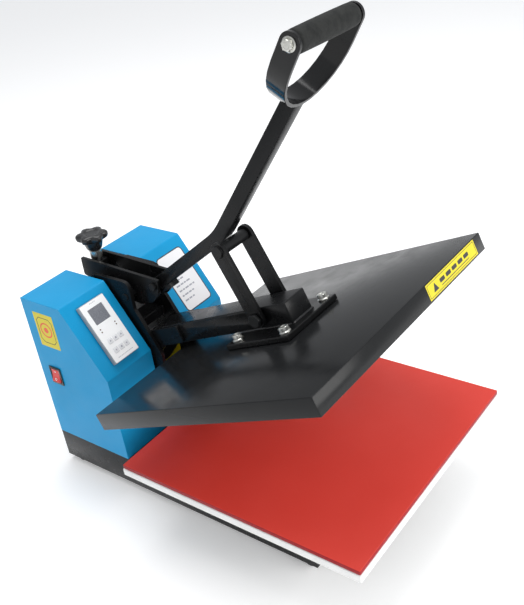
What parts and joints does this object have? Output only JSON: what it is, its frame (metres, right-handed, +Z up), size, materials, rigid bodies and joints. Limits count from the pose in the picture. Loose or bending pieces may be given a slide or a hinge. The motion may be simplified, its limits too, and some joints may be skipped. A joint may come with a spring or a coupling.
{
  "type": "clamshell heat press",
  "caption": "Manual clamshell heat press: heated upper platen on a toggle lever, padded lower table, twin cabinets, digital controller, star pressure knob and loop handle",
  "frame": {"origin": "centre of the bounding box in plan, on the plane the rubber feet stand on, press open", "axes": "+Z up, -Y towards the operator, +X to the operator's right; the pad's centre is at y = -0.1121"},
  "size_m": [0.396, 0.6062, 0.6904],
  "materials": {
    "black_powder_coat": "glossy black powder coat",
    "blue_powder_coat": "bright blue powder coat with light orange peel",
    "black_rubber": "matt moulded rubber",
    "white_board": "white rigid foam board",
    "red_silicone": "smooth red silicone sheet",
    "white_plastic": "satin moulded plastic",
    "lcd_glass": "grey display window",
    "circuit_board": "green glass-epoxy board",
    "black_plastic": "black moulded plastic",
    "bare_steel": "turned steel",
    "zinc_plate": "bright zinc plate",
    "foam_grip": "closed-cell foam sleeve",
    "cast_aluminium": "machined casting",
    "insulation": "compressed mineral wool",
    "red_plastic": "red moulded plastic",
    "key_plastic": "grey keys"
  },
  "bodies": {
    "frame": {"base_frame": "black_powder_coat", "foot_front_left": "black_rubber", "foot_front_right": "black_rubber", "foot_rear_left": "black_rubber", "foot_rear_right": "black_rubber", "table_frame": "black_powder_coat", "lower_board": "white_board", "silicone_pad": "red_silicone", "cabinet_left_shell": "blue_powder_coat", "cabinet_left_back": "blue_powder_coat", "cabinet_right_shell": "blue_powder_coat", "cabinet_right_back": "blue_powder_coat", "controller_housing": "white_plastic", "lcd_window": "lcd_glass", "control_board": "circuit_board", "switch_bezel": "black_plastic", "mains_inlet": "black_plastic", "upright_left": "black_powder_coat", "upright_right": "black_powder_coat", "stop_bar": "black_powder_coat", "bearing_bar": "black_powder_coat", "hinge_shaft": "bare_steel", "yoke_pin": "black_powder_coat", "spring_anchor_bar": "zinc_plate", "counterbalance_spring_left": "zinc_plate", "counterbalance_spring_right": "zinc_plate"},
    "yoke": {"yoke_plate_left": "black_powder_coat", "yoke_plate_right": "black_powder_coat", "screw_nut_block": "black_powder_coat", "lever_pin": "black_powder_coat"},
    "screw": {"screw_collar": "zinc_plate"},
    "knob": {"pressure_screw": "bare_steel", "pressure_knob": "black_plastic"},
    "lever": {"lever_tube": "black_powder_coat", "cross_shaft": "black_powder_coat", "handle_strap": "black_powder_coat", "handle_grip": "foam_grip", "grip_bolt": "zinc_plate"},
    "platen": {"platen_cover": "black_powder_coat", "heating_plate": "cast_aluminium", "insulation_board": "insulation", "mount_flange": "black_powder_coat", "flange_bolt_1": "zinc_plate", "flange_bolt_2": "zinc_plate", "flange_bolt_3": "zinc_plate", "flange_bolt_4": "zinc_plate", "platen_arm": "black_powder_coat", "hinge_bracket_left": "black_powder_coat", "hinge_bracket_right": "black_powder_coat", "spring_tail_bar": "zinc_plate", "link_pin": "black_powder_coat"},
    "links": {"link_left": "black_powder_coat", "link_right": "black_powder_coat"},
    "rocker": {"power_rocker": "red_plastic"},
    "key_1": {"key_1": "key_plastic"},
    "key_2": {"key_2": "key_plastic"},
    "key_3": {"key_3": "key_plastic"},
    "key_4": {"key_4": "key_plastic"},
    "key_5": {"key_5": "key_plastic"},
    "key_6": {"key_6": "key_plastic"}
  },
  "joints": [
    {"name": "platen_hinge", "type": "hinge", "parent": "frame", "child": "platen", "pos_m": [0, 0.2359, 0.132], "axis": [1, 0, 0], "range_deg": [0, 22.9], "stiffness_Nm_per_rad": 34, "springref_deg": -65.89, "deforming": ["counterbalance_spring_left", "counterbalance_spring_right"]},
    {"name": "link_pivot", "type": "hinge", "parent": "platen", "child": "links", "pos_m": [0, -0.06567, 0.30802], "axis": [1, 0, 0], "range_deg": [-44.6, 0]},
    {"name": "yoke_tilt", "type": "hinge", "parent": "frame", "child": "yoke", "pos_m": [0, 0.1779, 0.286], "axis": [1, 0, 0], "range_deg": [-1.2, 1.2]},
    {"name": "lever_pivot", "type": "hinge", "parent": "yoke", "child": "lever", "pos_m": [0, 0.1309, 0.306], "axis": [1, 0, 0], "range_deg": [0, 52.32]},
    {"name": "screw_slide", "type": "slide", "parent": "yoke", "child": "screw", "axis": [0, 0, 1], "range_m": [-0.0019, 0.0019]},
    {"name": "knob_turn", "type": "hinge", "parent": "screw", "child": "knob", "pos_m": [0, 0.2639, 0.3548], "axis": [0, 0, 1], "range_deg": [-372, 372]},
    {"name": "rocker_tilt", "type": "hinge", "parent": "frame", "child": "rocker", "pos_m": [-0.1253, 0.2634, 0.179], "axis": [0, 1, 0], "range_deg": [-16, 0]},
    {"name": "key_1_press", "type": "slide", "parent": "frame", "child": "key_1", "axis": [0, 0.8368, -0.5475], "range_m": [0, 0.0006], "stiffness_N_per_m": 600, "springref_m": -0.0004},
    {"name": "key_2_press", "type": "slide", "parent": "frame", "child": "key_2", "axis": [0, 0.8368, -0.5475], "range_m": [0, 0.0006], "stiffness_N_per_m": 600, "springref_m": -0.0004},
    {"name": "key_3_press", "type": "slide", "parent": "frame", "child": "key_3", "axis": [0, 0.8368, -0.5475], "range_m": [0, 0.0006], "stiffness_N_per_m": 600, "springref_m": -0.0004},
    {"name": "key_4_press", "type": "slide", "parent": "frame", "child": "key_4", "axis": [0, 0.8368, -0.5475], "range_m": [0, 0.0006], "stiffness_N_per_m": 600, "springref_m": -0.0004},
    {"name": "key_5_press", "type": "slide", "parent": "frame", "child": "key_5", "axis": [0, 0.8368, -0.5475], "range_m": [0, 0.0006], "stiffness_N_per_m": 600, "springref_m": -0.0004},
    {"name": "key_6_press", "type": "slide", "parent": "frame", "child": "key_6", "axis": [0, 0.8368, -0.5475], "range_m": [0, 0.0006], "stiffness_N_per_m": 600, "springref_m": -0.0004}
  ],
  "couplings": [
    {"joint": "lever_pivot", "follows": "platen_hinge", "ratio": 2.2842},
    {"joint": "link_pivot", "follows": "platen_hinge", "ratio": -1.9461},
    {"joint": "screw_slide", "follows": "yoke_tilt", "m_per_rad": -0.086},
    {"joint": "knob_turn", "follows": "yoke_tilt", "ratio": -308.77}
  ]
}
